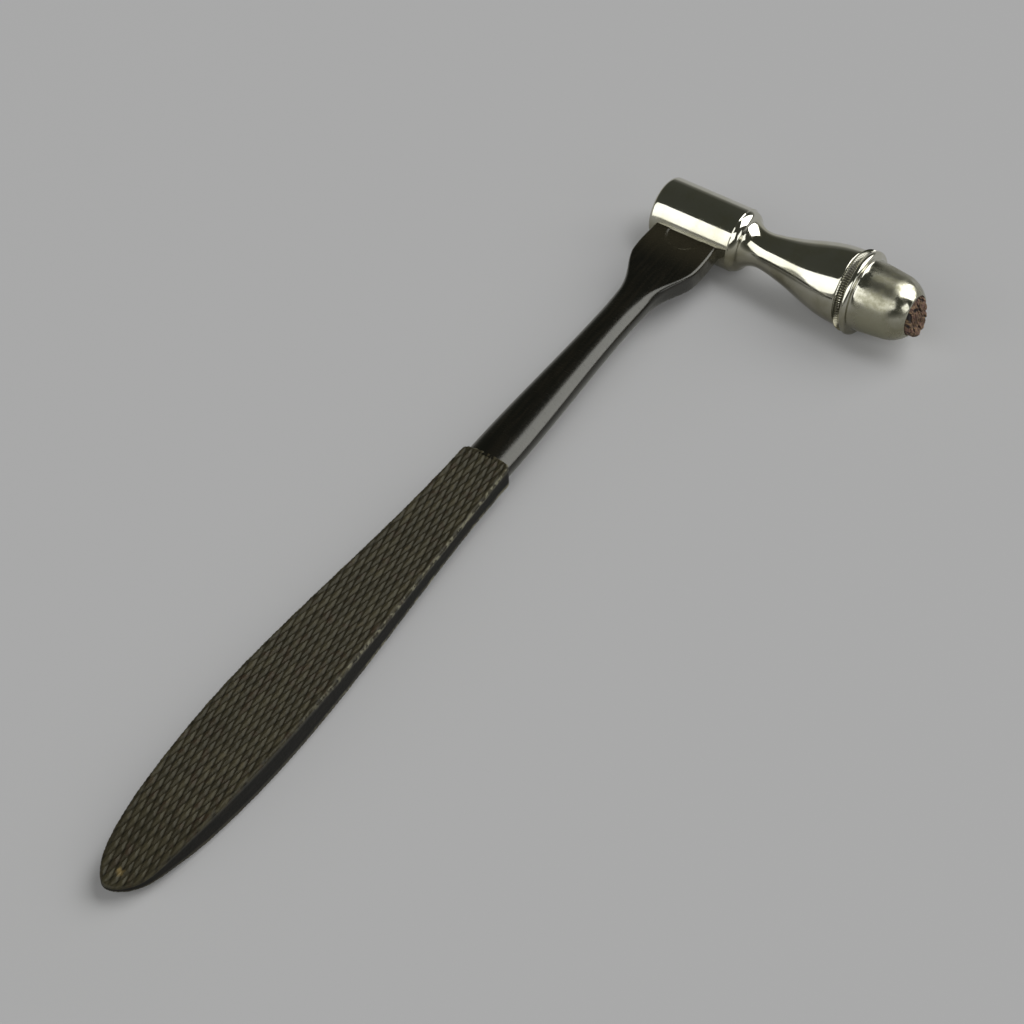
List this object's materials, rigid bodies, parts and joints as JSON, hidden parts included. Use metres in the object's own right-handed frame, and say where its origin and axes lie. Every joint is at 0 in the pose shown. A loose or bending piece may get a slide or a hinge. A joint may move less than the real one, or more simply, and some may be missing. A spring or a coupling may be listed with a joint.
{
  "type": "reflex hammer",
  "caption": "Slim percussion hammer: a plated turned head with a screw cap that holds the striking tip, set crosswise on a flat chequered wooden handle.",
  "frame": {"origin": "where the handle's middle line meets the turning axis of the head, inside the barrel", "axes": "+X along the head towards the striking tip, -Y along the handle towards the butt, +Z out of one chequered face"},
  "size_m": [0.0548, 0.1893, 0.0164],
  "materials": {
    "dark_wood": "near-black oiled ebony, dusty grooves in the chequering",
    "nickel_plate": "polished nickel plate with a yellowish cast",
    "cap_plate": "nickel plate, tarnished and spotted on the dome",
    "perished_tip": "matte, perished and fibrous, reddish brown",
    "stud_steel": "plain steel"
  },
  "bodies": {
    "hammer": {"handle": "dark_wood", "head_body": "nickel_plate", "stud": "stud_steel"},
    "tip": {"tip": "perished_tip"},
    "cap": {"cap": "cap_plate"}
  },
  "joints": [
    {"name": "tip_slide", "type": "slide", "parent": "hammer", "child": "tip", "axis": [1, 0, 0], "range_m": [0, 0.00385]},
    {"name": "cap_unscrew", "type": "hinge", "parent": "tip", "child": "cap", "pos_m": [0.035, 0, 0], "axis": [1, 0, 0], "range_deg": [0, 1980]}
  ],
  "couplings": [
    {"joint": "tip_slide", "follows": "cap_unscrew", "m_per_rad": 0.00011141}
  ]
}
